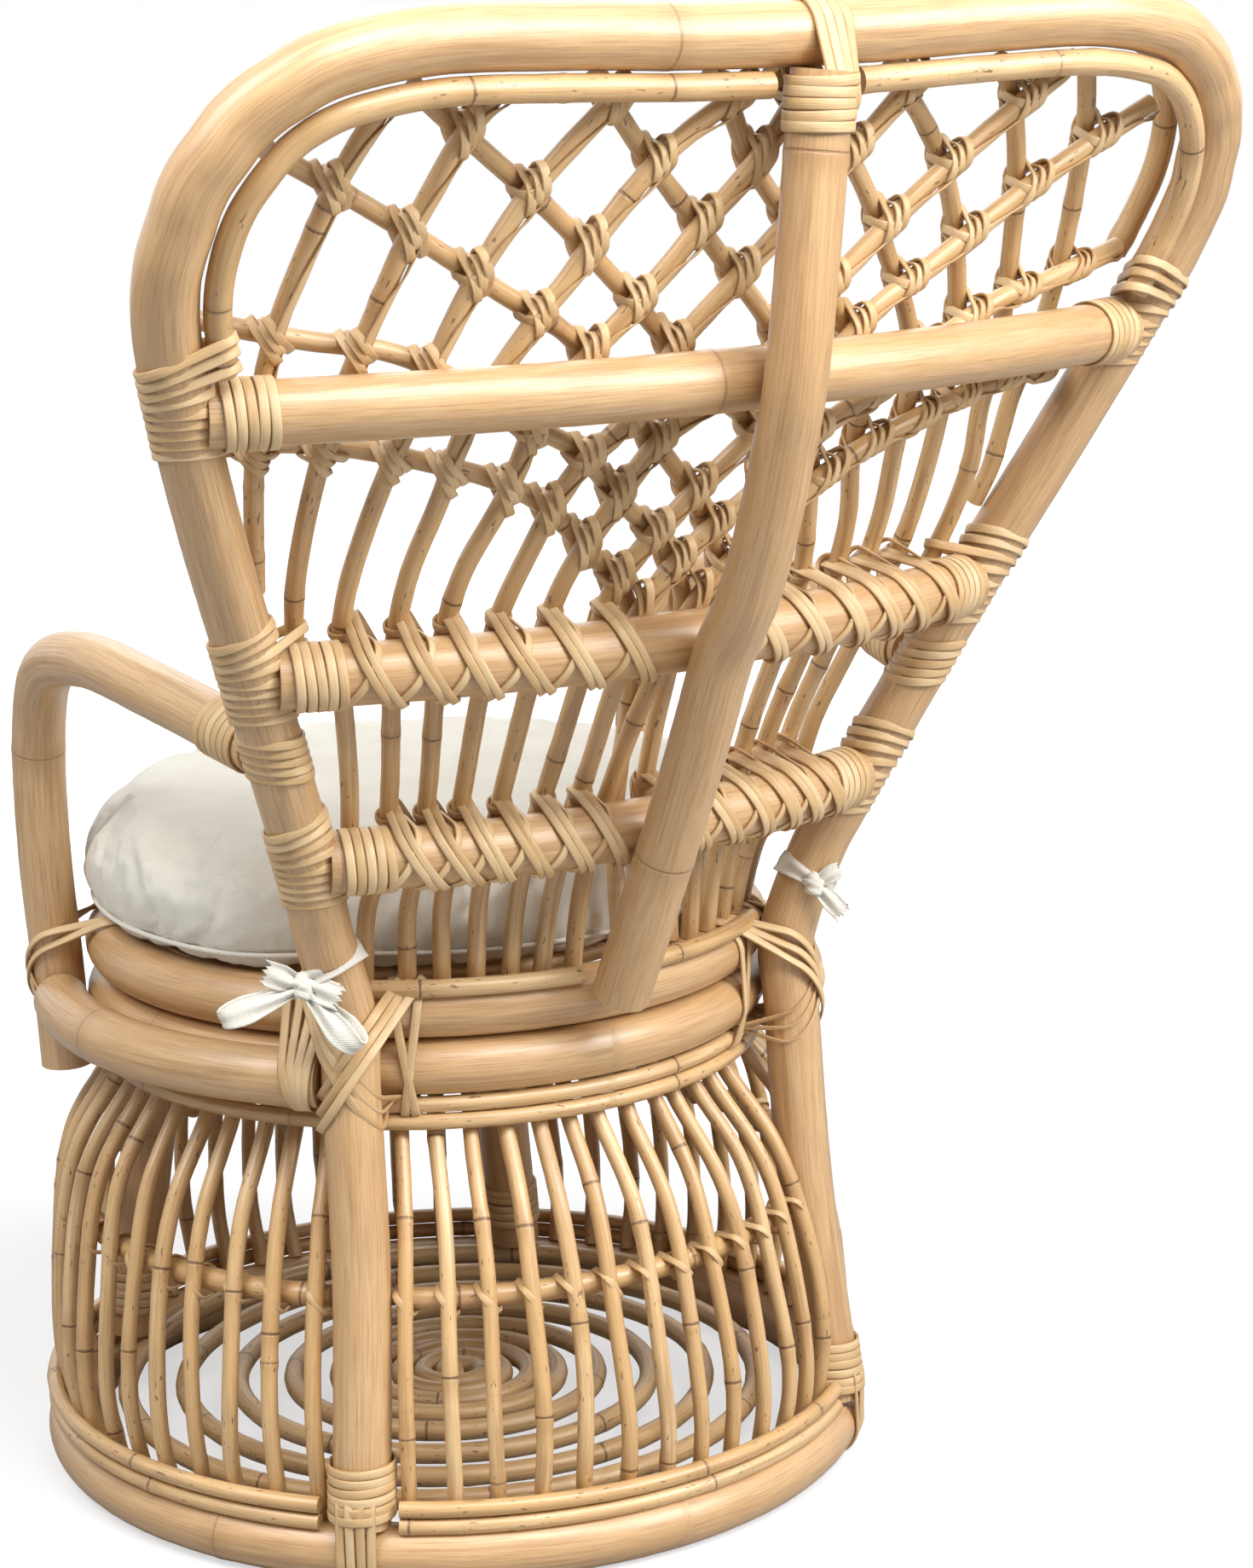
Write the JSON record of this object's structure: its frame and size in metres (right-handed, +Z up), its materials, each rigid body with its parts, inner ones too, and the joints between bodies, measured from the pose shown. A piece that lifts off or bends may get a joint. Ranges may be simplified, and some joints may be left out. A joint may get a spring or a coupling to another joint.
{
  "type": "peacock chair",
  "caption": "Rattan peacock chair: oval latticed back, two bent arms, drum base of spindles and a round tied-on cushion.",
  "frame": {"origin": "centre of the chair's footprint box, on the floor", "axes": "+Z up; the chair faces -Y; +X is the sitter's left; the plane X = 0 is the chair's plane of symmetry"},
  "size_m": [0.7648, 0.739, 1.0037],
  "materials": {
    "rattan_pole": "satin clear-coated peeled rattan pole",
    "rattan_cane": "satin peeled rattan cane with dark nodes",
    "rattan_strip": "matt split rattan strip",
    "cotton": "off-white cotton canvas"
  },
  "bodies": {
    "root": {"arm_left": "rattan_pole", "arm_right": "rattan_pole", "back_hoop": "rattan_pole", "back_trim_left": "rattan_cane", "back_trim_right": "rattan_cane", "base_ring": "rattan_pole", "centre_spine": "rattan_pole", "cushion_tie_left": "cotton", "cushion_tie_right": "cotton", "floor_spiral": "rattan_cane", "foot_trim_front_lower": "rattan_cane", "foot_trim_front_upper": "rattan_cane", "foot_trim_rear_lower": "rattan_cane", "foot_trim_rear_upper": "rattan_cane", "frame_cane_front": "rattan_cane", "frame_cane_rear_left": "rattan_cane", "frame_cane_rear_right": "rattan_cane", "front_cane_01": "rattan_cane", "front_cane_02": "rattan_cane", "front_cane_03": "rattan_cane", "front_cane_04": "rattan_cane", "front_cane_05": "rattan_cane", "front_cane_06": "rattan_cane", "front_cane_07": "rattan_cane", "front_cane_08": "rattan_cane", "front_cane_09": "rattan_cane", "front_cane_10": "rattan_cane", "front_leg_left": "rattan_pole", "front_leg_right": "rattan_pole", "rail_low": "rattan_pole", "rail_middle": "rattan_pole", "rail_top": "rattan_pole", "rear_cane_01": "rattan_cane", "rear_cane_02": "rattan_cane", "rear_cane_03": "rattan_cane", "rear_cane_04": "rattan_cane", "rear_cane_05": "rattan_cane", "rear_cane_06": "rattan_cane", "rear_cane_07": "rattan_cane", "rear_cane_08": "rattan_cane", "rear_cane_09": "rattan_cane", "rear_cane_10": "rattan_cane", "seat_cushion": "cotton", "seat_deck": "rattan_cane", "seat_ring_lower": "rattan_pole", "seat_ring_upper": "rattan_pole", "seat_trim_lower": "rattan_cane", "seat_trim_upper": "rattan_cane", "side_brace_left": "rattan_pole", "side_brace_right": "rattan_pole", "spindles_front": "rattan_cane", "spindles_rear": "rattan_cane", "winding_arm_left": "rattan_strip", "winding_arm_right": "rattan_strip", "winding_rail_low_left": "rattan_strip", "winding_rail_low_right": "rattan_strip", "winding_rail_middle_left": "rattan_strip", "winding_rail_middle_right": "rattan_strip", "winding_rail_top_left": "rattan_strip", "winding_rail_top_right": "rattan_strip"}
  },
  "joints": []
}
